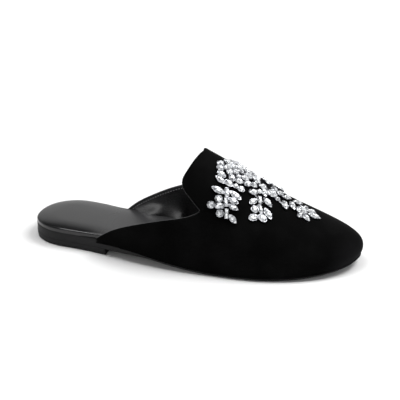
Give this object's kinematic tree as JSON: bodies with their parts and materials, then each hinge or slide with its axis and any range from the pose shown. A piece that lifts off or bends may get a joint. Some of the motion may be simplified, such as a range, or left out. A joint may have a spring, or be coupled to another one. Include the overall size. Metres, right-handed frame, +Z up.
{
  "type": "velvet mule",
  "caption": "Flat backless slip-on shoe for the right foot: hollow velvet vamp with a notched throat and crystal leaf sprays, padded leather insole, thin sole and low heel.",
  "frame": {"origin": "on the floor, under the middle of the shoe's box", "axes": "+X towards the toe, +Y to the inner side of the foot, +Z up"},
  "size_m": [0.254, 0.0858, 0.0786],
  "materials": {
    "outsole": "matt black sole with a smooth trimmed edge",
    "heel": "matt black heel block",
    "insole_leather": "smooth black leather over padding, soft sheen",
    "velvet": "short-pile black velvet",
    "binding": "narrow black binding",
    "crystal": "clear cut crystals, foiled behind, in silver claw settings"
  },
  "bodies": {
    "root": {"outsole": "outsole", "heel": "heel", "insole": "insole_leather", "upper": "velvet", "topline_binding": "binding", "crystal_throat": "crystal", "crystal_centre": "crystal", "crystal_rear_lateral": "crystal", "crystal_rear_medial": "crystal", "crystal_front_lateral": "crystal", "crystal_front_medial": "crystal"}
  },
  "joints": []
}
